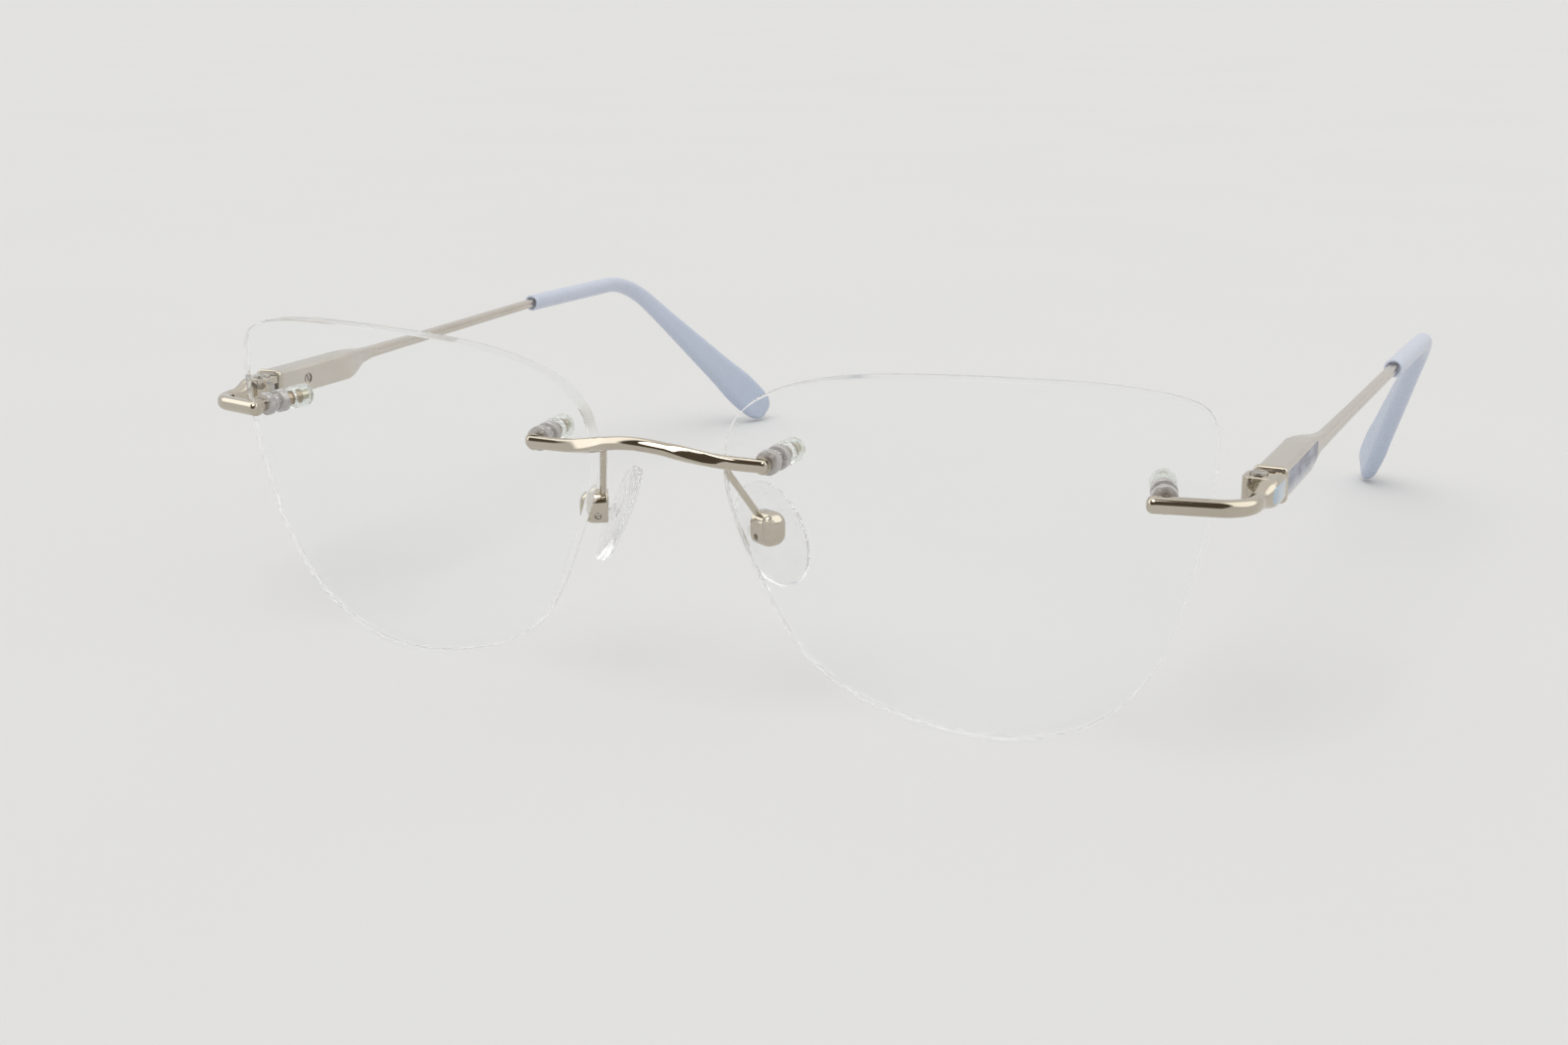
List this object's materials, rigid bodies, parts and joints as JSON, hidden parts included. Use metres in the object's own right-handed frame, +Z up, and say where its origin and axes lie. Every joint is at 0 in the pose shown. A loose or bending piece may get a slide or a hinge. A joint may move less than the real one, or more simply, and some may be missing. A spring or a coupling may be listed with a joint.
{
  "type": "rimless eyeglasses",
  "caption": "Rimless eyeglasses with a bowed wire bridge, drilled clear lenses, sprung folding temples, blue curved tips and rocking clear nose pads.",
  "frame": {"origin": "middle of the bounding box at its lowest level, on the surface the open glasses stand on", "axes": "+Z up, +Y from the front to the temple tips along the longest extent, +X to the wearer's left"},
  "size_m": [0.138, 0.1524, 0.0422],
  "materials": {
    "polished_nickel": "polished warm nickel plate",
    "satin_nickel": "satin nickel silver",
    "screw_steel": "plain steel",
    "hinge_steel": "spring and slider steel",
    "nut_metal": "nickel plated nut",
    "clear_plastic": "clear nylon",
    "lens_plastic": "clear, polished edge",
    "pad_silicone": "clear silicone",
    "blue_enamel": "pale blue enamel",
    "slate_inlay": "slate blue pearl inlay",
    "tip_plastic": "lilac blue acetate"
  },
  "bodies": {
    "front": {"bridge": "polished_nickel", "mount_washers": "clear_plastic", "mount_bushes": "clear_plastic", "mount_nuts": "nut_metal", "mount_caps": "clear_plastic", "lens_left": "lens_plastic", "lens_right": "lens_plastic", "endpiece_left": "polished_nickel", "endpiece_right": "polished_nickel", "endpiece_enamel_left": "blue_enamel", "endpiece_enamel_right": "blue_enamel", "hinge_screw_left": "screw_steel", "hinge_screw_right": "screw_steel", "pad_arm_left": "polished_nickel", "pad_arm_right": "polished_nickel", "pad_box_left": "polished_nickel", "pad_box_right": "polished_nickel", "pad_screw_left": "screw_steel", "pad_screw_right": "screw_steel"},
    "left_hinge": {"hinge_slider_left": "hinge_steel", "spring_stop_left": "hinge_steel"},
    "left_temple": {"temple_left": "satin_nickel", "temple_inlay_left": "slate_inlay", "temple_tip_left": "tip_plastic", "spring_seat_left": "hinge_steel", "retaining_screw_left": "screw_steel", "hinge_spring_left": "hinge_steel"},
    "left_pad": {"nose_pad_left": "pad_silicone"},
    "right_hinge": {"hinge_slider_right": "hinge_steel", "spring_stop_right": "hinge_steel"},
    "right_temple": {"temple_right": "satin_nickel", "temple_inlay_right": "slate_inlay", "temple_tip_right": "tip_plastic", "spring_seat_right": "hinge_steel", "retaining_screw_right": "screw_steel", "hinge_spring_right": "hinge_steel"},
    "right_pad": {"nose_pad_right": "pad_silicone"}
  },
  "joints": [
    {"name": "left_temple_fold", "type": "hinge", "parent": "front", "child": "left_hinge", "pos_m": [0.0648, -0.0573, 0.0297], "axis": [0, 0, 1], "range_deg": [0, 88.5]},
    {"name": "left_hinge_spring", "type": "slide", "parent": "left_hinge", "child": "left_temple", "axis": [0, 1, 0], "range_m": [0, 0.0012], "stiffness_N_per_m": 3000, "springref_m": -0.002, "deforming": ["hinge_spring_left"]},
    {"name": "left_pad_rock", "type": "hinge", "parent": "front", "child": "left_pad", "pos_m": [0.01121, -0.06445, 0.0204], "axis": [0.4695, 0.8829, 0], "range_deg": [-8, 8]},
    {"name": "right_temple_fold", "type": "hinge", "parent": "front", "child": "right_hinge", "pos_m": [-0.0648, -0.0573, 0.0297], "axis": [0, 0, -1], "range_deg": [0, 78]},
    {"name": "right_hinge_spring", "type": "slide", "parent": "right_hinge", "child": "right_temple", "axis": [0, 1, 0], "range_m": [0, 0.0012], "stiffness_N_per_m": 3000, "springref_m": -0.002, "deforming": ["hinge_spring_right"]},
    {"name": "right_pad_rock", "type": "hinge", "parent": "front", "child": "right_pad", "pos_m": [-0.01121, -0.06445, 0.0204], "axis": [0.4695, -0.8829, 0], "range_deg": [-8, 8]}
  ]
}
